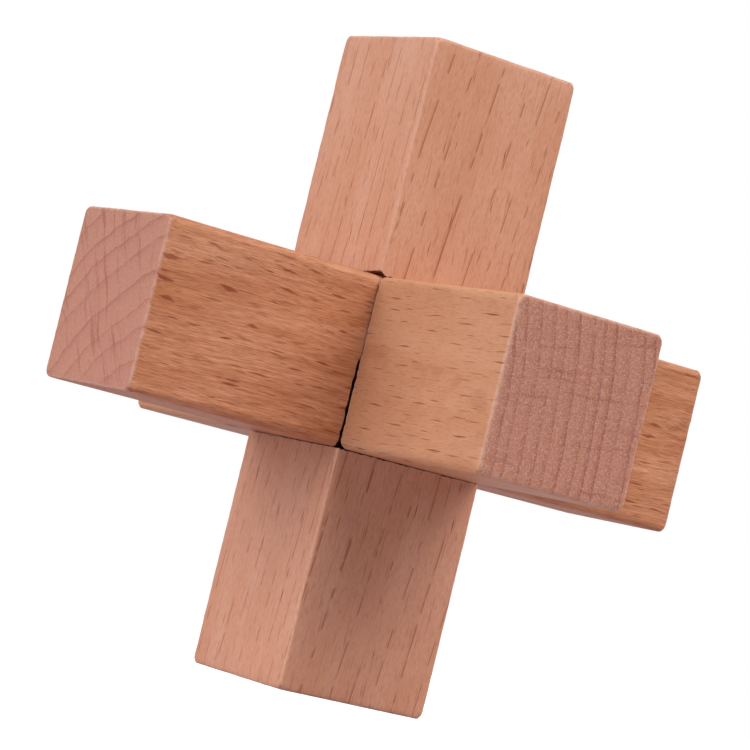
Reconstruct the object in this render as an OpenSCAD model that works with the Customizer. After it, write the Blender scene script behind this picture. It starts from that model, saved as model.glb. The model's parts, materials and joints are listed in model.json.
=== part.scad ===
// Three-bar cross burr. Three equal square bars cross at one centre, at right angles to
// each other, and each is cut down to a quarter of its section where the others pass.
// The upright bar is the key: its quarter neck is turned round, so it can swing about
// that neck until one of the other two bars is free to lift away.
//
// The origin is the point where the three bars' centre lines meet.

/* [Bars] */
// Width and depth of every bar
bar_w = 20; // [14:0.5:40]
// Length of every bar
bar_l = 76; // [60:1:160]
// Radius of the eased edges
edge_r = 0.9; // [0.3:0.1:1.6]

/* [Joint] */
// Gap between a notch's shoulders and the sides of the bar that lies in the notch
shoulder_gap = 0.3; // [0.1:0.05:0.6]
// How far a square neck's inner sides stay back from the centre planes
neck_gap = 0.15; // [0.05:0.05:0.4]
// How much the key's round neck is under the full quarter, measured on its radius
key_gap = 0.15; // [0.05:0.05:0.4]

/* [Hidden] */

half_w = bar_w / 2;
notch_l = bar_w + 2 * shoulder_gap;
// The key's neck is centred in its quarter of the section
key_neck_at = half_w / 2;
key_neck_r = half_w / 2 - key_gap;
// Cutters reach this far past the bar's sides
cut_w = 2 * bar_w;
// Facets of the eased edges and of the turned neck
edge_fn = 48;
neck_fn = 96;

// Rectangle with eased corners, centred on the origin
module eased_rectangle(size_x, size_y) {
    square([size_x - 2 * edge_r, size_y], center = true);
    square([size_x, size_y - 2 * edge_r], center = true);
    for (side_x = [-1, 1], side_y = [-1, 1])
        translate([side_x * (size_x / 2 - edge_r), side_y * (size_y / 2 - edge_r)])
            circle(r = edge_r, $fn = edge_fn);
}

// A whole bar along Z before it is notched, with all twelve edges eased
module whole_bar() {
    intersection() {
        linear_extrude(bar_l, center = true)
            eased_rectangle(bar_w, bar_w);
        rotate([90, 0, 0])
            linear_extrude(bar_w, center = true)
                eased_rectangle(bar_w, bar_l);
        rotate([90, 0, 90])
            linear_extrude(bar_w, center = true)
                eased_rectangle(bar_w, bar_l);
    }
}

// A bar along Z whose neck is the square quarter on its +X and +Y sides
module square_necked_bar() {
    difference() {
        whole_bar();
        difference() {
            cube([cut_w, cut_w, notch_l], center = true);
            translate([neck_gap, neck_gap, -notch_l])
                cube([cut_w, cut_w, 2 * notch_l]);
        }
    }
}

// A bar along Z whose neck is a round pin in the quarter on its -X and -Y sides
module round_necked_bar() {
    difference() {
        whole_bar();
        difference() {
            cube([cut_w, cut_w, notch_l], center = true);
            translate([-key_neck_at, -key_neck_at, 0])
                cylinder(h = 2 * notch_l, r = key_neck_r, center = true, $fn = neck_fn);
        }
    }
}

// The upright bar, which turns about its own neck
module key_bar() {
    color("peru")
        round_necked_bar();
}

// The bar along Y: its neck is on the +X and +Z sides
module front_back_bar() {
    color("burlywood")
        rotate([90, 0, 0])
            square_necked_bar();
}

// The bar along X: its neck is on the +Y and -Z sides
module left_right_bar() {
    color("tan")
        rotate([0, 90, 0])
            square_necked_bar();
}

key_bar();
front_back_bar();
left_right_bar();
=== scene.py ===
import json
from math import atan2, ceil, cos, pi, radians, sin, tan

import bpy
import numpy as np
from mathutils import Matrix, Vector, noise


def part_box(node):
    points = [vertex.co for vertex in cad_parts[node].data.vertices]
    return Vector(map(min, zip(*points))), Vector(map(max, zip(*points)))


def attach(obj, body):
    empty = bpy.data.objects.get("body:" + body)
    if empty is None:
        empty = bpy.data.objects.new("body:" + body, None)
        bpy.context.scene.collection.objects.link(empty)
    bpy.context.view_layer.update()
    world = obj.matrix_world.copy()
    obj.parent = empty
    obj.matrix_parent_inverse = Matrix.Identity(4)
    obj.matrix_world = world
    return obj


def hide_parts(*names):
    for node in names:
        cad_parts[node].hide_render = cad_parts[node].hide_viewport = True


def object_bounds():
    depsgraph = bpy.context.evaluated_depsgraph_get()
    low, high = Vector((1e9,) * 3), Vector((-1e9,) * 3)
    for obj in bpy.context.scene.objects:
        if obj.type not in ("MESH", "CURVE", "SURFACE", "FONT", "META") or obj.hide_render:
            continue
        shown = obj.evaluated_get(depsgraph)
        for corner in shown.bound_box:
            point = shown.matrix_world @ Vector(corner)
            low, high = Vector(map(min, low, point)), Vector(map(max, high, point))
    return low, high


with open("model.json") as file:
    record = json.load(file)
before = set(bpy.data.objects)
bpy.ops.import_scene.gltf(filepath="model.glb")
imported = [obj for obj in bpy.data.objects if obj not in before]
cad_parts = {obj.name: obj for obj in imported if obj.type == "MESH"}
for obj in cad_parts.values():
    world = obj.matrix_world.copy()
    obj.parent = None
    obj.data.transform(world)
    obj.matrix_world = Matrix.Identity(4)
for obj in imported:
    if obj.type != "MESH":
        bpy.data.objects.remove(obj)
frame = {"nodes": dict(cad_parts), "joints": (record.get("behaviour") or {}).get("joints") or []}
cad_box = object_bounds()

# ---------------------------------------------------------------------------
# Sizes, in metres and degrees unless a name says mm

MM = 0.001
X, Y, Z = Vector((1, 0, 0)), Vector((0, 1, 0)), Vector((0, 0, 1))

# Places nearer than this are taken as one, and nothing is divided by less than TINY
TOUCH = 0.001 * MM
TINY = 1e-12

# The easing that sandpaper gave the arrises, and the most that wear then took, in slow waves
# of that length and quick ones a quarter as long
EASING = 1.0 * MM
EASING_STEPS = 5
WEAR_DEPTH = 0.1 * MM
WEAR_LENGTH = 3.2 * MM
WEAR_SLOW = 0.5
WEAR_QUICK = 0.35

# How a section turns its arris: 2 is a quarter circle, and more is sharper
ROUND_ARRIS = 2.2
CRISP_ARRIS = 7.0

# The torn fibres along the arrises of a notch's saw-cut shoulders
TEAR_DEPTH = 0.17 * MM
TEAR_BAND = 0.3 * MM
TEAR_RARITY = 2.2

# The key's chipped shoulder, on its front face beside its front arris
CHIP_WIDTH = 6.0 * MM
CHIP_DEPTH = 0.5 * MM
CHIP_HEIGHT = 2.4 * MM
CHIP_REACH = 2.2 * MM
CHIP_LIP = 0.6 * MM
CHIP_STEEPNESS = 3

# The longest cell of a bar's mesh, across the grain and along it
CELL_ACROSS = 0.36 * MM
CELL_ALONG = 0.8 * MM

# Faces that meet at more degrees than this keep a sharp edge
SHARP_FROM = 40

# The camera: a long lens a little under the crossing, held tilted
VIEW_AZIMUTH = 57.37
VIEW_ELEVATION = -2.84
VIEW_TILT = 13.77
VIEW_DISTANCE = 0.412
VIEW_AIM = Vector((-0.0005, -0.0008, -0.0004))
LENS_MM = 169.5
SENSOR_MM = 36.0
NEAREST = 0.01

# The studio. Its room and its floor look white, but light the wood less than white would, and
# the floor fades out away from the puzzle.
WHITE = (1.0, 1.0, 1.0, 1.0)
ROOM_LIGHT = (0.06, 0.06, 0.06, 1.0)
FLOOR_HALF = 0.4
FLOOR_FADES_FROM = 0.08
FLOOR_FADES_TO = 0.3
FLOOR_COLOUR = (0.37, 0.34, 0.36, 1.0)
FLOOR_ROUGHNESS = 0.9
FLOOR_SHEEN = (0.18, 0.15, 0.19, 1.0)

LAMP_SIZE = 0.9
LAMP_DISTANCE = 1.0
WARM = (1.0, 0.99, 0.97)
COOL = (0.97, 1.02, 1.08)

# Each lamp's name, azimuth, elevation, watts and tint
STUDIO_LAMPS = (("front_lamp", -9, 20, 10.4, COOL), ("high_lamp", 100, 55, 9.0, WARM),
                ("far_lamp", 118, 38, 4.0, WARM), ("back_lamp", 236, 20, 7.0, WARM))


# ---------------------------------------------------------------------------
# Bars

def marks_to_stations(marks, longest):
    """The marks, with even steps between them that are no longer than longest."""
    places = [marks[0]]
    for low, high in zip(marks, marks[1:]):
        steps = max(1, ceil((high - low) / longest - 1e-6))
        places += [low + (high - low) * (n + 1) / steps for n in range(steps)]
    return np.array(places)


def easing_marks(half):
    """Places from the end of the flat to the arris that step evenly round the easing."""
    flat = half - EASING
    angles = [n * pi / 4 / EASING_STEPS for n in range(EASING_STEPS + 1)]
    return [flat + EASING * tan(angle) for angle in angles]


def mirrored(marks):
    return [-mark for mark in reversed(marks)]


def measure(node):
    """Half a CAD bar's width and length, its shoulders' distance from its middle, and the corners
    of its mesh that lie no further out than they do."""
    low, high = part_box(node)
    half = np.array(high - low) / 2
    half_w, half_l = float(half.min()), float(half.max())
    points = np.array([corner.co for corner in frame["nodes"][node].data.vertices])
    reach = np.abs(points[:, int(np.argmax(half))])
    shoulder = float(reach[reach > half_w].min())
    return half_w, half_l, shoulder, points[reach < shoulder + TOUCH]


def round_the_neck(points, shoulder, centre, radius, limit):
    """Presses the square neck's section into a circle and leaves everything past limit alone."""
    neck = np.abs(points[:, 2]) < shoulder + TOUCH
    offset = points[neck, :2] - centre
    square_reach = np.abs(offset).max(axis=1)
    true_reach = np.hypot(offset[:, 0], offset[:, 1])
    stretch = true_reach / np.maximum(square_reach, TINY)
    share = np.clip((limit - square_reach) / (limit - radius), 0, 1)
    factor = 1 + (1 / np.maximum(stretch, TINY) - 1) * share
    points[neck, :2] = centre + offset * factor[:, None]


def ease_the_arrises(points, half, long_turn, end_turn):
    """Rounds the block's arrises and corners, and wears them unevenly."""
    inner = half - EASING
    over = np.clip(np.abs(points) - inner, 0, None) / EASING
    long_pair = over[:, 0] * over[:, 1]
    end_pairs = (over[:, 0] + over[:, 1]) * over[:, 2]
    pairs = np.maximum(long_pair + end_pairs, TINY)
    turn = (long_turn * long_pair + end_turn * end_pairs) / pairs
    turn = np.maximum(turn, ROUND_ARRIS)
    turn += (ROUND_ARRIS - turn) * over.min(axis=1)
    length = (over ** turn[:, None]).sum(axis=1) ** (1 / turn)
    scale = over.max(axis=1) / np.maximum(length, TINY)
    eased = over * scale[:, None] * EASING
    middle = np.sort(over, axis=1)[:, 1]
    taken = middle * worn_depth(points, middle > 0)
    reach = np.maximum(np.linalg.norm(eased, axis=1), TINY)
    keep = np.where(middle > 0, 1 - taken / reach, 1)
    core = np.clip(np.abs(points), None, inner)
    return np.sign(points) * (core + eased * keep[:, None])


def worn_depth(points, chosen):
    """How much wear took at each chosen point, in slow and quick waves."""
    wear = np.zeros(len(points))
    for n in np.flatnonzero(chosen):
        place = Vector(points[n]) / WEAR_LENGTH
        rough = 0.5 + WEAR_SLOW * noise.noise(place) + WEAR_QUICK * noise.noise(place * 4)
        wear[n] = WEAR_DEPTH * min(max(rough, 0), 1)
    return wear


def bar_mesh(name, node, turn, look, neck_pin):
    """A notched bar: a grid of cells, its outer skin kept, eased outside and torn at the saw cuts.

    The bar is made along Z and turned into place. Its neck is the quarter on the +X and +Y
    sides, or, with neck_pin, a round pin about that centre.
    """
    half_w, half_l, shoulder, inner_corners = measure(node)
    if neck_pin is None:
        neck_low, neck_high = float(np.abs(inner_corners).min()), half_w
        cuts = [neck_low]
    else:
        radius = float(np.hypot(*(inner_corners[:, :2] - neck_pin).T).min())
        neck_low, neck_high = neck_pin[0] - radius, neck_pin[0] + radius
        cuts = [neck_low, neck_high]
    shoulder -= look["rise"] * MM

    across, along = cell_edges(half_w, half_l, shoulder, cuts)
    solid = wood_cells(across, along, shoulder, neck_low, neck_high)
    points, quads = skin_of(solid, across, along)
    tear_the_shoulders(points, shoulder, half_w, neck_low, neck_high, look["seed"])
    if neck_pin is not None:
        round_the_neck(points, shoulder, np.array(neck_pin), radius, half_w + neck_pin[0])
        chip_the_shoulder(points, shoulder, half_w)
    points = ease_the_arrises(points, np.array([half_w, half_w, half_l]), *look["arrises"])

    mesh = bpy.data.meshes.new(name)
    mesh.from_pydata((points @ np.array(turn).T).tolist(), [], quads.tolist())
    mesh.update()
    mesh.shade_smooth()
    mesh.set_sharp_from_angle(angle=radians(SHARP_FROM))
    return mesh


def cell_edges(half_w, half_l, shoulder, cuts):
    """Where the cells' edges lie across the bar and along it, with none inside the notch."""
    easing = easing_marks(half_w)
    across = marks_to_stations(sorted(mirrored(easing) + cuts + easing), CELL_ACROSS)
    arm = [shoulder, shoulder + TEAR_BAND] + easing_marks(half_l)
    along = np.concatenate([marks_to_stations(mirrored(arm), CELL_ALONG),
                            marks_to_stations(arm, CELL_ALONG)])
    return across, along


def wood_cells(across, along, shoulder, neck_low, neck_high):
    """Which cells are wood: those past the shoulders, and the neck's."""
    middles = [(edges[1:] + edges[:-1]) / 2 for edges in (across, across, along)]
    x, y, z = np.meshgrid(*middles, indexing="ij")
    in_neck = (x > neck_low) & (x < neck_high) & (y > neck_low) & (y < neck_high)
    return (np.abs(z) > shoulder) | in_neck


def skin_of(solid, across, along):
    """The corners and quads between wood cells and empty ones, wound to face out."""
    counts = [len(across), len(across), len(along)]
    padded = np.pad(solid, 1)
    strides = np.array([counts[1] * counts[2], counts[2], 1])
    quads = []
    for axis in range(3):
        near, far = [a for a in range(3) if a != axis]
        before = np.take(padded, range(padded.shape[axis] - 1), axis=axis)
        after = np.take(padded, range(1, padded.shape[axis]), axis=axis)
        for outward, found in ((1, before & ~after), (-1, after & ~before)):
            cells = np.argwhere(found)
            cells[:, near] -= 1
            cells[:, far] -= 1
            corner = cells @ strides
            ring = [corner, corner + strides[near], corner + strides[near] + strides[far],
                    corner + strides[far]]
            flip = (outward == 1) != (axis != 1)
            quads.append(np.stack(ring[::-1] if flip else ring, axis=1))
    used, numbered = np.unique(np.concatenate(quads), return_inverse=True)
    place_x, place_y, place_z = np.unravel_index(used, counts)
    points = np.stack([across[place_x], across[place_y], along[place_z]], axis=1)
    return points, numbered.reshape(-1, 4)


def tear_the_shoulders(points, shoulder, half_w, neck_low, neck_high, seed):
    """Pulls the shoulders' arrises back along the grain, a little and unevenly."""
    draw = np.random.default_rng(seed)
    depth = TEAR_DEPTH * draw.random(len(points)) ** TEAR_RARITY
    at_shoulder = np.abs(np.abs(points[:, 2]) - shoulder) < TOUCH
    outside = np.abs(points[:, :2]).max(axis=1) > half_w - TOUCH
    inside = (points[:, :2] > neck_low - TOUCH) & (points[:, :2] < neck_high + TOUCH)
    torn = at_shoulder & outside & ~inside.all(axis=1)
    points[torn, 2] += np.sign(points[torn, 2]) * depth[torn]


def chip_the_shoulder(points, shoulder, half_w):
    """Lifts the upper shoulder's edge where a splinter came away beside the front arris."""
    x, y, z = points.T
    along_edge = np.clip((x - half_w + CHIP_WIDTH) / CHIP_WIDTH, 0, 1)
    inward = np.clip(CHIP_STEEPNESS * (1 - (y + half_w) / CHIP_REACH), 0, 1)
    beside = np.clip((x - half_w) / CHIP_LIP + 1, 0, 1) * np.clip((y + half_w) / CHIP_LIP, 0, 1)
    inward *= 1 - beside
    upward = np.clip(1 - (z - shoulder) / CHIP_HEIGHT, 0, 1) * (z > shoulder - TOUCH)
    points[:, 2] += CHIP_DEPTH * along_edge * inward * upward


# ---------------------------------------------------------------------------
# Node trees

class Wiring:
    """Short calls that place nodes in one tree and link them."""

    def __init__(self, tree):
        self.tree = tree
        self.column = 0

    def place(self, kind, inputs=(), **settings):
        """A node of that kind. inputs maps a socket's name or number to a value or a socket."""
        node = self.tree.nodes.new(kind)
        node.location = (self.column, -300 * (len(self.tree.nodes) % 4))
        self.column += 60
        for name, value in settings.items():
            setattr(node, name, value)
        for socket, value in dict(inputs).items():
            self.feed(node.inputs[socket], value)
        return node

    def feed(self, socket, value):
        if isinstance(value, bpy.types.NodeSocket):
            self.tree.links.new(value, socket)
        else:
            socket.default_value = value

    def math(self, operation, *values, clamp=False):
        node = self.place("ShaderNodeMath", enumerate(values), operation=operation)
        node.use_clamp = clamp
        return node.outputs[0]

    def ramp(self, value, start, end, low=0.0, high=1.0):
        """value carried smoothly from low at start to high at end."""
        node = self.place("ShaderNodeMapRange", {0: value, 1: start, 2: end, 3: low, 4: high},
                          interpolation_type="SMOOTHSTEP")
        return node.outputs[0]

    def split(self, vector):
        return self.place("ShaderNodeSeparateXYZ", {0: vector}).outputs

    def join(self, x, y, z):
        return self.place("ShaderNodeCombineXYZ", {0: x, 1: y, 2: z}).outputs[0]

    def scaled(self, where, depth, across, along):
        """A place in the timber with each of its ways scaled."""
        return self.join(self.math("MULTIPLY", where["Depth"], depth),
                         self.math("MULTIPLY", where["Across"], across),
                         self.math("MULTIPLY", where["Along"], along))

    def mottle(self, vector, detail=2.0, roughness=0.5):
        """Even noise from 0 to 1."""
        node = self.place("ShaderNodeTexNoise", {"Vector": vector, "Scale": 1.0,
                                                 "Detail": detail, "Roughness": roughness})
        return node.outputs[0]

    def blend(self, share, under, over, kind="MIX"):
        """Colour over laid on colour under, by share."""
        node = self.place("ShaderNodeMix", data_type="RGBA", blend_type=kind)
        self.feed(node.inputs[0], share)
        self.feed(node.inputs[6], under)
        self.feed(node.inputs[7], over)
        return node.outputs[2]

    def facing(self, normal, way):
        """How squarely a face looks along that way or against it, from 0 to 1."""
        dot = self.place("ShaderNodeVectorMath", {0: normal, 1: way}, operation="DOT_PRODUCT")
        return self.math("ABSOLUTE", dot.outputs["Value"])

    def lay(self, kind, **inputs):
        """The outputs of that effect's group, with _ in an input's name standing for a space."""
        node = self.place("ShaderNodeGroup", node_tree=EFFECTS[kind])
        for label, value in inputs.items():
            self.feed(node.inputs[label.replace("_", " ")], value)
        return node.outputs


SOCKETS = {"value": "NodeSocketFloat", "vector": "NodeSocketVector", "colour": "NodeSocketColor"}

# A place in the timber, in mm: out from the pith, round it, and along the grain
TIMBER_PLACE = [("Depth", "value"), ("Across", "value"), ("Along", "value")]

# What all beech has in common. Lengths are in mm.
# The grain wavers in waves this long across it and along it
WAVER_ACROSS = 9.0
WAVER_ALONG = 38.0
# A year's line grows darker up to this share of the year, and then ends
LATE_PEAK = 0.965
# How far rays bend out of line, the smallest's and the range of their sizes, and their frayed rims
RAY_BEND = 0.25
RAY_LEAST = 0.55
RAY_RANGE = 0.9
RAY_FRAY = 0.8
# The fine streaks' share of the broad ones' width and length
THIN_WIDTH = 0.33
THIN_LENGTH = 0.3
# Pores and sanding specks to the mm across the grain, and pores along it
PORES_ACROSS = 7.0
PORES_ALONG = 0.9
# How much of a pore's dark shows, and how the fibres' light and dark bend red and blue
PORE_SHADE = 0.22
FIBRE_RED = 0.75
FIBRE_BLUE = 1.2
# On end grain, how much the year darkens as it goes, and how strong the speckle is
SEASON_SHADE = 0.1
END_SPECKLE = 0.13
# The ways that a sander went over the ends, and its scratches to the mm along and across them
SANDING_WAYS = (20.0, 75.0, 138.0)
SCRATCHES_ALONG = 1.7
SCRATCHES_ACROSS = 8.0
# How far from a saw-cut shoulder its arris is pale all through, and how far at all. The paleness is
# partly torn fibres and partly a painted highlight.
SAW_PALE = 0.05
SAW_BAND = 0.28


def effect(name, takes, gives):
    """A new node group with those inputs and outputs, its wiring and what its inputs give."""
    group = bpy.data.node_groups.new(name, "ShaderNodeTree")
    for label, kind in takes:
        group.interface.new_socket(name=label, in_out="INPUT", socket_type=SOCKETS[kind])
    for label, kind in gives:
        group.interface.new_socket(name=label, in_out="OUTPUT", socket_type=SOCKETS[kind])
    wiring = Wiring(group)
    given = wiring.place("NodeGroupInput").outputs
    return group, wiring, given


def hand_out(wiring, **results):
    """Feeds a group's outputs, with _ in a name standing for a space."""
    end = wiring.place("NodeGroupOutput")
    for name, value in results.items():
        wiring.feed(end.inputs[name.replace("_", " ")], value)


def timber_axes():
    """Turns a place in the bar into a place in the timber, about a pith outside the bar."""
    group, w, given = effect(
        "Timber axes",
        [("Place", "vector"), ("Pith", "value"), ("Lean across", "value"),
         ("Lean in depth", "value"), ("Waver", "value")], TIMBER_PLACE)
    x, y, z = w.split(given["Place"])
    slow = w.join(w.math("DIVIDE", x, WAVER_ACROSS), w.math("DIVIDE", y, WAVER_ACROSS),
                  w.math("DIVIDE", z, WAVER_ALONG))
    drift = w.place("ShaderNodeTexNoise", {"Vector": slow, "Scale": 1.0, "Detail": 2.0})
    drift_x, drift_y, _ = w.split(drift.outputs["Color"])
    swing_x = w.math("MULTIPLY", w.math("SUBTRACT", drift_x, 0.5), given["Waver"])
    swing_y = w.math("MULTIPLY", w.math("SUBTRACT", drift_y, 0.5), given["Waver"])
    leaning_x = w.math("MULTIPLY_ADD", z, given["Lean in depth"], x)
    from_pith = w.math("ADD", w.math("ADD", leaning_x, swing_x), given["Pith"])
    sideways = w.math("ADD", w.math("MULTIPLY_ADD", z, given["Lean across"], y), swing_y)
    radius = w.math("SQRT", w.math("ADD", w.math("MULTIPLY", from_pith, from_pith),
                                   w.math("MULTIPLY", sideways, sideways)))
    depth = w.math("SUBTRACT", radius, given["Pith"])
    across = w.math("MULTIPLY", w.math("ARCTAN2", sideways, from_pith), given["Pith"])
    hand_out(w, Depth=depth, Across=across, Along=z)
    return group


def growth_rings():
    """Each year's dark line, even and broken into dashes, and how far into its year a place is."""
    group, w, given = effect(
        "Growth rings",
        TIMBER_PLACE + [("Spacing", "value"), ("Sharpness", "value"), ("Unevenness", "value"),
                        ("Shiver", "value")],
        [("Late wood", "value"), ("Season", "value"), ("Ring dash", "value")])
    years = w.math("DIVIDE", given["Depth"], given["Spacing"])
    uneven = w.mottle(w.join(w.math("MULTIPLY", years, 0.45), 3.7, 0.0), detail=1.0)
    shiver = w.mottle(w.scaled(given, 0.5, 0.8, 0.03))
    years = w.math("MULTIPLY_ADD", uneven, given["Unevenness"], years)
    years = w.math("MULTIPLY_ADD", shiver, given["Shiver"], years)
    year, season = w.math("FLOOR", years), w.math("FRACT", years)
    rise = w.math("POWER", season, given["Sharpness"])
    late = w.math("MULTIPLY", rise, w.ramp(season, LATE_PEAK, 1.0, 1.0, 0.0))

    year_strength = w.place("ShaderNodeTexWhiteNoise", {"W": year},
                            noise_dimensions="1D").outputs[0]
    patchy = w.mottle(w.scaled(given, 0.6, 0.6, 0.08))
    strength = w.math("MULTIPLY_ADD", year_strength, 0.5, w.ramp(patchy, 0.3, 0.7, 0.3, 0.8))
    stretch = w.mottle(w.join(w.math("MULTIPLY", year, 7.3),
                              w.math("MULTIPLY", given["Across"], 0.35),
                              w.math("MULTIPLY", given["Along"], 0.4)), detail=1.0)
    dash = w.math("MULTIPLY", late, w.ramp(stretch, 0.46, 0.56))
    hand_out(w, Late_wood=w.math("MULTIPLY", late, strength), Season=season, Ring_dash=dash)
    return group


def ray_flecks():
    """Beech's rays: thin sheets running out from the pith, cut by each face into spindles."""
    group, w, given = effect(
        "Ray flecks",
        TIMBER_PLACE + [("Gap across", "value"), ("Gap along", "value"), ("Thickness", "value"),
                        ("Height", "value"), ("Share", "value"), ("Seed", "value")],
        [("Fleck", "value")])
    bend = w.mottle(w.scaled(given, 0.25, 0.6, 0.45))
    across = w.math("MULTIPLY_ADD", w.math("SUBTRACT", bend, 0.5), RAY_BEND, given["Across"])
    cell_across = w.math("ADD", w.math("DIVIDE", across, given["Gap across"]), given["Seed"])
    cell_along = w.math("DIVIDE", given["Along"], given["Gap along"])
    cells = w.place("ShaderNodeTexVoronoi",
                    {"Vector": w.join(cell_across, cell_along, 0.0), "Scale": 1.0,
                     "Randomness": 0.85}, voronoi_dimensions="2D")
    centre_across, centre_along, _ = w.split(cells.outputs["Position"])
    chance, size, tone = w.split(cells.outputs["Color"])

    def off_centre(own, centre, gap, reach):
        """How far a place is from its cell's centre, in shares of that ray's own reach."""
        own_reach = w.math("MULTIPLY", reach, w.math("MULTIPLY_ADD", size, RAY_RANGE, RAY_LEAST))
        away = w.math("MULTIPLY", w.math("SUBTRACT", own, centre), gap)
        return w.math("ABSOLUTE", w.math("DIVIDE", away, own_reach))

    off_across = off_centre(cell_across, centre_across, given["Gap across"], given["Thickness"])
    off_along = off_centre(cell_along, centre_along, given["Gap along"], given["Height"])
    fray = w.mottle(w.scaled(given, 2.5, 5.0, 0.5))
    reach = w.math("ADD", off_across, w.math("POWER", off_along, 1.5))
    reach = w.math("ADD", reach, w.math("MULTIPLY", w.math("SUBTRACT", fray, 0.5), RAY_FRAY))
    spindle = w.ramp(reach, 0.3, 1.0, 1.0, 0.0)
    there = w.math("LESS_THAN", chance, given["Share"])
    strength = w.math("MULTIPLY_ADD", tone, 0.7, 0.3)
    hand_out(w, Fleck=w.math("MULTIPLY", spindle, w.math("MULTIPLY", there, strength)))
    return group


def end_rays():
    """The rays as an end cut shows them: fine lines out from the pith, at uneven gaps."""
    group, w, given = effect(
        "End rays", [("Depth", "value"), ("Across", "value"), ("Gap", "value")],
        [("Ray", "value")])
    place = w.join(w.math("MULTIPLY", given["Depth"], 0.1),
                   w.math("DIVIDE", given["Across"], given["Gap"]), 2.6)
    hand_out(w, Ray=w.ramp(w.mottle(place, roughness=0.6), 0.52, 0.72))
    return group


def fibres():
    """Fine streaks along the grain, which a cut across it shows as speckle."""
    group, w, given = effect(
        "Fibres", TIMBER_PLACE + [("Width", "value"), ("Length", "value")],
        [("Streak", "value"), ("Fine streak", "value"), ("Pore", "value")])

    def streaks(width, length, detail, shift):
        """Streaks about that wide and long, from below 0 where dark to above 0 where pale."""
        place = w.join(w.math("DIVIDE", given["Depth"], width),
                       w.math("DIVIDE", given["Across"], width),
                       w.math("ADD", w.math("DIVIDE", given["Along"], length), shift))
        tone = w.mottle(place, detail=detail, roughness=0.6)
        return w.math("MULTIPLY", w.math("SUBTRACT", tone, 0.5), 3.0)

    broad = streaks(given["Width"], given["Length"], 3.0, 0.0)
    thin = streaks(w.math("MULTIPLY", given["Width"], THIN_WIDTH),
                   w.math("MULTIPLY", given["Length"], THIN_LENGTH), 2.0, 7.0)
    pores = w.mottle(w.scaled(given, PORES_ACROSS, PORES_ACROSS, PORES_ALONG), detail=1.0)
    pore = w.ramp(pores, 0.56, 0.68)
    hand_out(w, Streak=broad, Fine_streak=thin, Pore=pore)
    return group


def worn_arrises():
    """Where a bar of that size is paler, partly from wear and partly as a painted highlight: its
    long arrises, its ends' arrises and its notch's.
    """
    group, w, given = effect(
        "Worn arrises",
        [("Place", "vector"), ("Half width", "value"), ("Half length", "value"),
         ("Shoulder", "value"), ("Band", "value")],
        [("Long arris", "value"), ("End arris", "value"), ("Saw arris", "value")])
    x, y, z = (w.math("ABSOLUTE", own) for own in w.split(given["Place"]))
    broken = w.ramp(w.mottle(given["Place"], detail=3.0), 0.3, 0.62, 0.3, 1.0)

    def near(own, edge):
        return w.ramp(own, w.math("SUBTRACT", edge, given["Band"]), edge)

    # Paler where two faces' bands meet, broken up: partly wear, partly a painted highlight.
    def pale_worn_and_highlit(one, other):
        return w.math("MULTIPLY", w.math("MULTIPLY", one, other), broken)

    near_x, near_y = near(x, given["Half width"]), near(y, given["Half width"])
    near_side = w.math("MAXIMUM", near_x, near_y)
    from_shoulder = w.math("ABSOLUTE", w.math("SUBTRACT", z, given["Shoulder"]))
    # The saw cut's arris is paler from torn fibres and from a painted highlight.
    near_shoulder = w.ramp(from_shoulder, SAW_PALE, SAW_BAND, 1.0, 0.0)
    hand_out(w, Long_arris=pale_worn_and_highlit(near_x, near_y), Saw_arris=pale_worn_and_highlit(near_side, near_shoulder),
             End_arris=pale_worn_and_highlit(near_side, near(z, given["Half length"])))
    return group


def sanding_marks():
    """Fine pale scratches that a sander leaves across end grain in three ways, and pale specks."""
    group, w, given = effect("Sanding marks", [("Place", "vector")], [("Mark", "value")])
    fine = w.place("ShaderNodeVectorMath", {0: given["Place"], 1: (PORES_ACROSS,) * 3},
                   operation="MULTIPLY")
    marks = w.ramp(w.mottle(fine.outputs[0]), 0.56, 0.72)
    for degrees in SANDING_WAYS:
        turned = w.place("ShaderNodeMapping", {"Vector": given["Place"],
                                               "Rotation": (0.0, 0.0, radians(degrees))})
        x, y, z = w.split(turned.outputs[0])
        scratch = w.mottle(w.join(w.math("MULTIPLY", x, SCRATCHES_ALONG),
                                  w.math("MULTIPLY", y, SCRATCHES_ACROSS), z))
        marks = w.math("MAXIMUM", marks, w.ramp(scratch, 0.54, 0.7))
    hand_out(w, Mark=marks)
    return group


def face_colours():
    """A bar's side faces: cloudy wood, rings, fibres, flecks and pores laid over each other."""
    group, w, given = effect(
        "Face colours",
        [("Wood", "colour"), ("Deep wood", "colour"), ("Fleck colour", "colour"),
         ("Cloud", "value"), ("Late wood", "value"), ("Fleck", "value"), ("Streak", "value"),
         ("Fine streak", "value"), ("Pore", "value"), ("Ring dash", "value"),
         ("Ring strength", "value"), ("Dash strength", "value"), ("Fleck strength", "value"),
         ("Streak strength", "value"), ("Speck strength", "value")],
        [("Colour", "colour")])
    ring = w.math("MULTIPLY", given["Late wood"], given["Ring strength"])
    deep = w.math("ADD", given["Cloud"], ring, clamp=True)
    wood = w.blend(deep, given["Wood"], given["Deep wood"])
    light = w.math("MULTIPLY_ADD", given["Streak"], given["Streak strength"], 1.0)
    light = w.math("MULTIPLY_ADD", given["Fine streak"], given["Speck strength"], light)
    red = w.math("POWER", light, FIBRE_RED)
    blue = w.math("POWER", light, FIBRE_BLUE)
    wood = w.blend(1.0, wood, w.join(red, light, blue), kind="MULTIPLY")
    wood = w.blend(w.math("MULTIPLY", given["Pore"], PORE_SHADE), wood, given["Fleck colour"])
    dash = w.math("MULTIPLY", given["Ring dash"], given["Dash strength"])
    fleck = w.math("MULTIPLY_ADD", given["Fleck"], given["Fleck strength"], dash, clamp=True)
    hand_out(w, Colour=w.blend(fleck, wood, given["Fleck colour"]))
    return group


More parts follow.
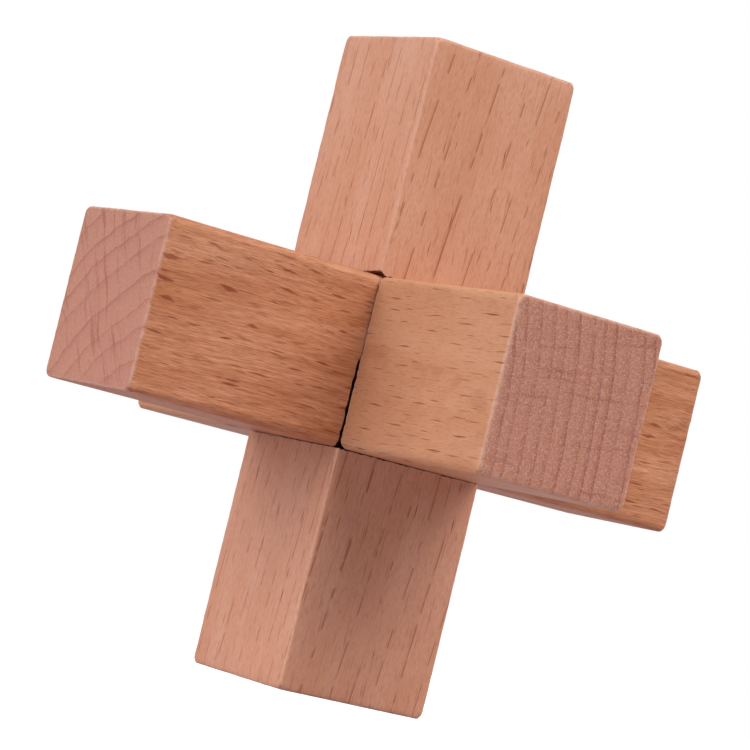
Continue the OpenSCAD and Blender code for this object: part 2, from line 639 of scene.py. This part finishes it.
def end_colours():
    """A bar's end grain: ring lines, rays, speckle and the sander's pale marks."""
    group, w, given = effect(
        "End colours",
        [("End wood", "colour"), ("End line", "colour"), ("Dust", "colour"),
         ("Late wood", "value"), ("Season", "value"), ("Ray", "value"), ("Streak", "value"),
         ("Fine streak", "value"), ("Mark", "value"), ("Line strength", "value"),
         ("Ray strength", "value"), ("Dust strength", "value")],
        [("Colour", "colour")])
    season = w.math("MULTIPLY", given["Season"], SEASON_SHADE)
    wood = w.blend(season, given["End wood"], given["End line"])
    line = w.math("MULTIPLY", given["Late wood"], given["Line strength"], clamp=True)
    wood = w.blend(line, wood, given["End line"])
    ray = w.math("MULTIPLY", given["Ray"], given["Ray strength"], clamp=True)
    wood = w.blend(ray, wood, given["End line"])
    both = w.math("ADD", given["Fine streak"], given["Streak"])
    light = w.math("MULTIPLY_ADD", both, END_SPECKLE, 1.0)
    wood = w.blend(1.0, wood, w.join(light, light, light), kind="MULTIPLY")
    hand_out(w, Colour=w.blend(w.math("MULTIPLY", given["Mark"], given["Dust strength"]), wood,
                               given["Dust"]))
    return group


# ---------------------------------------------------------------------------
# Beech

EFFECTS = {build.__name__: build() for build in
           (timber_axes, growth_rings, ray_flecks, end_rays, fibres, worn_arrises, sanding_marks,
            face_colours, end_colours)}

# A face is end grain by how squarely it looks along the grain
END_FROM = 0.5
END_TO = 0.9

# A face lays a ray's whole sheet open where it looks this squarely at it, which makes it fainter
BROADSIDE_FROM = 0.9
BROAD_RAY_FADE = 0.85

# The roughness of a side face, what end grain adds to it, and what the fibres change it by
SIDE_ROUGHNESS = 0.5
END_ROUGHER = 0.22
FIBRE_ROUGHER = 0.05
SHEEN_LEVEL = 0.3

# How deep the grain's relief is at most, and how its parts share it
RELIEF_DEPTH = 0.05 * MM
FIBRE_RELIEF = 0.5
PORE_RELIEF = 0.6


def beech(name, look, turn, half_w, half_l, shoulder):
    """Solid beech for a bar of that size that turn put in place."""
    material = bpy.data.materials.new(name)
    material.use_nodes = True
    w = Wiring(material.node_tree)
    own = w.place("ShaderNodeTexCoord").outputs
    upright = turn.transposed()
    in_bar = w.place("ShaderNodeMapping", {"Vector": own["Object"], "Rotation": upright.to_euler(),
                                           "Scale": (1 / MM, 1 / MM, 1 / MM)}).outputs[0]
    where = timber_place(w, look, in_bar, upright @ look["rings_face"])
    grain_way = turn @ Z
    end_grain = w.ramp(w.facing(own["Normal"], grain_way), END_FROM, END_TO)
    sheet_face = grain_way.cross(look["rings_face"])
    broadside = w.ramp(w.facing(own["Normal"], sheet_face), BROADSIDE_FROM, 1.0)

    rings = w.lay("growth_rings", Spacing=look["ring_spacing"], Sharpness=look["ring_sharpness"],
                  Unevenness=look["ring_unevenness"], Shiver=look["ring_shiver"], **where)
    fleck = ray_fleck(w, look, where, broadside)
    streaks = w.lay("fibres", Width=look["fibre"][0], Length=look["fibre"][1], **where)
    wood = w.blend(end_grain, side_colour(w, look, where, rings, fleck, streaks),
                   end_colour(w, look, where, rings, streaks, in_bar))
    arrises = w.lay("worn_arrises", Place=in_bar, Half_width=half_w / MM,
                    Half_length=half_l / MM, Shoulder=shoulder / MM, Band=look["band"])
    # Paler arrises: partly wear, partly a painted highlight along them.
    for arris, strength in zip(("Long arris", "End arris", "Saw arris"), look["wear"]):
        wood = w.blend(w.math("MULTIPLY", arrises[arris], strength), wood, look["worn"])
    finish_surface(w, look, wood, fleck, streaks, end_grain)
    return material


def timber_place(w, look, in_bar, ring_way):
    """The place in the timber, which the growth rings face along ring_way in the upright bar."""
    in_timber = w.place("ShaderNodeMapping", {"Vector": in_bar, "Location": look["start"],
                                              "Rotation": (0, 0, -atan2(ring_way.y, ring_way.x))})
    axes = w.lay("timber_axes", Place=in_timber.outputs[0], Pith=look["pith"],
                 Lean_across=look["lean"][0], Lean_in_depth=look["lean"][1], Waver=look["waver"])
    return {way: axes[way] for way, _ in TIMBER_PLACE}


def ray_fleck(w, look, where, broadside):
    """The rays that a side face cuts: the bold ones, and the fine ones between them."""
    bold, fine = [w.lay("ray_flecks", Gap_across=gap_across, Gap_along=gap_along,
                        Thickness=thickness, Height=height, Share=share, Seed=seed, **where)["Fleck"]
                  for gap_across, gap_along, thickness, height, share, seed in look["flecks"]]
    fleck = w.math("MAXIMUM", bold, w.math("MULTIPLY", fine, look["fine_strength"]))
    return w.math("MULTIPLY", fleck, w.math("MULTIPLY_ADD", broadside, -BROAD_RAY_FADE, 1.0))


def side_colour(w, look, where, rings, fleck, streaks):
    """The colour of a bar's long faces."""
    cloud = w.ramp(w.mottle(w.scaled(where, 0.22, 0.22, 0.05)), 0.25, 0.8, 0.0, look["cloud"])
    return w.lay("face_colours", Wood=look["wood"], Deep_wood=look["deep"],
                 Fleck_colour=look["fleck"], Cloud=cloud, Fleck=fleck, Pore=streaks["Pore"],
                 Streak=streaks["Streak"], Fine_streak=streaks["Fine streak"],
                 Late_wood=rings["Late wood"], Ring_dash=rings["Ring dash"],
                 Ring_strength=look["ring_strength"], Dash_strength=look["dash_strength"],
                 Fleck_strength=look["fleck_strength"], Streak_strength=look["streak_strength"],
                 Speck_strength=look["speck_strength"])["Colour"]


def end_colour(w, look, where, rings, streaks, in_bar):
    """The colour of a bar's ends and of its notch's saw cuts."""
    ray = w.lay("end_rays", Depth=where["Depth"], Across=where["Across"], Gap=look["ray_gap"])["Ray"]
    mark = w.lay("sanding_marks", Place=in_bar)["Mark"]
    return w.lay("end_colours", End_wood=look["end"], End_line=look["end_line"],
                 Dust=look["dust"], Late_wood=rings["Late wood"], Season=rings["Season"], Ray=ray,
                 Streak=streaks["Streak"], Fine_streak=streaks["Fine streak"], Mark=mark,
                 Line_strength=look["line_strength"], Ray_strength=look["ray_strength"],
                 Dust_strength=look["dust_strength"])["Colour"]


def finish_surface(w, look, wood, fleck, streaks, end_grain):
    """The wood's colour, and the sheen and relief of its fibres, pores and rays."""
    grain = w.math("MULTIPLY_ADD", streaks["Fine streak"], 0.5, streaks["Streak"])
    sunk = w.math("ADD", fleck, w.math("MULTIPLY", streaks["Pore"], PORE_RELIEF))
    height = w.math("SUBTRACT", w.math("MULTIPLY", grain, FIBRE_RELIEF), sunk)
    bump = w.place("ShaderNodeBump", {"Height": height, "Strength": look["relief"],
                                      "Distance": RELIEF_DEPTH})
    rough = w.math("MULTIPLY_ADD", end_grain, END_ROUGHER, SIDE_ROUGHNESS)
    rough = w.math("MULTIPLY_ADD", grain, FIBRE_ROUGHER, rough)
    shader = w.tree.nodes["Principled BSDF"]
    w.feed(shader.inputs["Base Color"], wood)
    w.feed(shader.inputs["Roughness"], rough)
    w.feed(shader.inputs["Normal"], bump.outputs[0])
    w.feed(shader.inputs["Specular IOR Level"], SHEEN_LEVEL)


def colour(red, green, blue):
    """A linear colour from the usual 0 to 255 values."""
    def straight(level):
        level /= 255
        return level / 12.92 if level <= 0.04045 else ((level + 0.055) / 1.055) ** 2.4
    return (straight(red), straight(green), straight(blue), 1.0)


def between(start, end, degrees):
    """The direction that many degrees from start towards end."""
    return (start * cos(radians(degrees)) + end * sin(radians(degrees))).normalized()


# Each look is one bar's timber and finish. Lengths are in mm.
# arrises: how sharply its long arrises turn, and then those of its ends
# rise: how far the fibres stand up on its notch's shoulders
# rings_face: the way out from the pith, for the bar in its place
# flecks: bold and fine rays, each (gap across, gap along, half thickness, half height, share, seed)
# fibre: how wide and how long its streaks are
# wear: how pale its long arrises, its ends' arrises and its saw-cut arrises are, band how wide
# That paleness and its colour are partly wear and partly a painted highlight along the arrises.
KEY_LOOK = {
    "arrises": (CRISP_ARRIS, CRISP_ARRIS), "seed": 3, "rings_face": between(X, Y, 40),
    "rise": 0.24, "start": (3.0, 1.0, 5.0), "pith": 70.0, "lean": (-0.02, -0.055), "waver": 1.0,
    "ring_spacing": 1.9, "ring_sharpness": 24.0, "ring_unevenness": 1.0, "ring_shiver": 0.1,
    "ring_strength": 0.15, "dash_strength": 1.75,
    "flecks": ((1.3, 4.2, 0.062, 1.2, 0.45, 1.7), (0.8, 6.0, 0.055, 2.4, 0.9, 8.3)),
    "fine_strength": 0.5, "fleck_strength": 0.95, "ray_gap": 0.8,
    "fibre": (0.25, 2.2), "streak_strength": 0.05, "speck_strength": 0.18, "cloud": 0.8,
    "relief": 0.2,
    "wood": colour(213, 157, 129), "deep": colour(204, 141, 108), "fleck": colour(150, 78, 50),
    "end": colour(190, 136, 116), "end_line": colour(156, 92, 72), "dust": colour(214, 190, 182),
    "line_strength": 0.8, "ray_strength": 0.6, "dust_strength": 0.3,
    "worn": colour(224, 176, 148), "wear": (0.2, 0.4, 0.4), "band": 0.5,
}
FRONT_BACK_LOOK = {
    "arrises": (ROUND_ARRIS, CRISP_ARRIS), "seed": 5, "rings_face": between(Z, -X, 28.5),
    "rise": 0.14, "start": (1.0, 4.0, 2.0), "pith": 60.0, "lean": (0.0, 0.02), "waver": 2.2,
    "ring_spacing": 2.9, "ring_sharpness": 8.0, "ring_unevenness": 1.2, "ring_shiver": 0.2,
    "ring_strength": 0.5, "dash_strength": 0.3,
    "flecks": ((0.75, 3.6, 0.085, 1.35, 0.9, 1.7), (0.5, 3.0, 0.06, 1.1, 0.85, 8.3)),
    "fine_strength": 0.6, "fleck_strength": 1.0, "ray_gap": 0.9,
    "fibre": (0.27, 5.5), "streak_strength": 0.42, "speck_strength": 0.36, "cloud": 0.9,
    "relief": 0.5,
    "wood": colour(201, 139, 103), "deep": colour(179, 111, 72), "fleck": colour(142, 68, 38),
    "end": colour(187, 127, 104), "end_line": colour(150, 85, 66), "dust": colour(222, 189, 176),
    "line_strength": 0.8, "ray_strength": 0.6, "dust_strength": 0.15,
    "worn": colour(212, 170, 152), "wear": (0.3, 0.8, 0.1), "band": 0.5,
}
LEFT_RIGHT_LOOK = {
    "arrises": (ROUND_ARRIS, CRISP_ARRIS), "seed": 7, "rings_face": between(Y, Z, 4),
    "rise": 0.14, "start": (0.0, 2.0, 1.0), "pith": 90.0, "lean": (0.0, 0.02), "waver": 1.0,
    "ring_spacing": 1.7, "ring_sharpness": 4.0, "ring_unevenness": 1.0, "ring_shiver": 0.12,
    "ring_strength": 0.3, "dash_strength": 0.2,
    "flecks": ((1.5, 4.4, 0.11, 1.6, 0.75, 1.7), (1.1, 3.4, 0.06, 1.1, 0.7, 8.3)),
    "fine_strength": 0.6, "fleck_strength": 1.1, "ray_gap": 0.7,
    "fibre": (0.25, 4.0), "streak_strength": 0.07, "speck_strength": 0.09, "cloud": 0.55,
    "relief": 0.3,
    "wood": colour(200, 143, 107), "deep": colour(189, 125, 86), "fleck": colour(142, 74, 38),
    "end": colour(182, 121, 96), "end_line": colour(152, 86, 64), "dust": colour(214, 184, 176),
    "line_strength": 1.3, "ray_strength": 0.6, "dust_strength": 0.44,
    "worn": colour(218, 176, 156), "wear": (0.3, 0.7, 0.5), "band": 0.55,
}


def add_bar(node, body, turn, look, neck_pin=None):
    """One bar in its place, on its body, with the slot of its own beech."""
    name = "beech_" + node
    slot = "beech_" + node.removesuffix("_bar")
    bar = bpy.data.objects.new(name, bar_mesh(name, node, turn, look, neck_pin))
    bpy.context.scene.collection.objects.link(bar)
    half_w, half_l, shoulder, _ = measure(node)
    shoulder -= look["rise"] * MM
    bar.data.materials.append(beech(slot, look, turn, half_w, half_l, shoulder))
    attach(bar, body)
    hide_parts(node)


def add_bars():
    """The key about its hinge, and the two level bars crossed in it."""
    pin = tuple(frame["joints"][0]["pos_m"][:2])
    add_bar("key_bar", "key", Matrix.Identity(3), KEY_LOOK, pin)
    add_bar("front_back_bar", "crossed_bars", Matrix.Rotation(pi / 2, 3, "X"), FRONT_BACK_LOOK)
    add_bar("left_right_bar", "crossed_bars", Matrix.Rotation(pi / 2, 3, "Y"), LEFT_RIGHT_LOOK)


# ---------------------------------------------------------------------------
# Studio

def direction(azimuth, elevation):
    """The unit vector towards a viewer at that azimuth, from -Y towards +X, and elevation."""
    turn, rise = radians(azimuth), radians(elevation)
    return Vector((sin(turn) * cos(rise), -cos(turn) * cos(rise), sin(rise)))


def add_floor(height):
    """A pale floor that fades out away from the puzzle and is clear from below."""
    mesh = bpy.data.meshes.new("floor")
    corners = [(-1, -1), (1, -1), (1, 1), (-1, 1)]
    mesh.from_pydata([(x * FLOOR_HALF, y * FLOOR_HALF, height) for x, y in corners], [],
                     [(0, 1, 2, 3)])
    mesh.materials.append(floor_material())
    floor = bpy.data.objects.new("floor", mesh)
    bpy.context.scene.collection.objects.link(floor)


def floor_material():
    """White to look at, and dimmer in the light that it sends up."""
    material = bpy.data.materials.new("pale_floor")
    material.use_nodes = True
    w = Wiring(material.node_tree)
    shader = material.node_tree.nodes["Principled BSDF"]
    w.feed(shader.inputs["Base Color"], FLOOR_COLOUR)
    w.feed(shader.inputs["Roughness"], FLOOR_ROUGHNESS)
    w.feed(shader.inputs["Specular IOR Level"], 0.0)
    seen = w.place("ShaderNodeLightPath").outputs["Is Camera Ray"]
    w.feed(shader.inputs["Emission Color"], w.blend(seen, FLOOR_SHEEN, WHITE))
    w.feed(shader.inputs["Emission Strength"], 1.0)
    geometry = w.place("ShaderNodeNewGeometry").outputs
    away = w.place("ShaderNodeVectorMath", {0: geometry["Position"]}, operation="LENGTH")
    gone = w.ramp(away.outputs["Value"], FLOOR_FADES_FROM, FLOOR_FADES_TO)
    gone = w.math("MAXIMUM", gone, geometry["Backfacing"])
    clear = w.place("ShaderNodeBsdfTransparent")
    mix = w.place("ShaderNodeMixShader", {0: gone, 1: shader.outputs[0], 2: clear.outputs[0]})
    w.feed(material.node_tree.nodes["Material Output"].inputs[0], mix.outputs[0])
    return material


def add_lamp(name, azimuth, elevation, watts, tint):
    """A soft square lamp that faces the crossing."""
    data = bpy.data.lights.new(name, "AREA")
    data.shape = "SQUARE"
    data.size = LAMP_SIZE
    data.energy = watts
    data.color = tint
    lamp = bpy.data.objects.new(name, data)
    back = direction(azimuth, elevation)
    lamp.location = back * LAMP_DISTANCE
    lamp.rotation_euler = back.to_track_quat("Z", "Y").to_euler()
    bpy.context.scene.collection.objects.link(lamp)


def add_room_light():
    """A dim even light from all round, which looks white itself."""
    world = bpy.data.worlds.new("studio")
    world.use_nodes = True
    w = Wiring(world.node_tree)
    seen = w.place("ShaderNodeLightPath").outputs["Is Camera Ray"]
    background = world.node_tree.nodes["Background"]
    w.feed(background.inputs["Color"], w.blend(seen, ROOM_LIGHT, WHITE))
    bpy.context.scene.world = world


def add_camera():
    """The camera, aimed at the crossing and turned about its own line of sight."""
    back = direction(VIEW_AZIMUTH, VIEW_ELEVATION)
    level = (-back).cross(Z).normalized()
    upright = back.cross(level)
    tilt = radians(VIEW_TILT)
    right = level * cos(tilt) + upright * sin(tilt)
    up = upright * cos(tilt) - level * sin(tilt)
    camera = bpy.data.objects.new("camera", bpy.data.cameras.new("camera"))
    camera.data.lens = LENS_MM
    camera.data.sensor_width = SENSOR_MM
    camera.data.clip_start = NEAREST
    turn = Matrix((right, up, back)).transposed().to_4x4()
    camera.matrix_world = Matrix.Translation(VIEW_AIM + back * VIEW_DISTANCE) @ turn
    bpy.context.scene.collection.objects.link(camera)
    bpy.context.scene.camera = camera


add_camera()
add_bars()
add_floor(cad_box[0][2])
add_room_light()
for lamp in STUDIO_LAMPS:
    add_lamp(*lamp)
bpy.context.scene.view_settings.view_transform = "Standard"
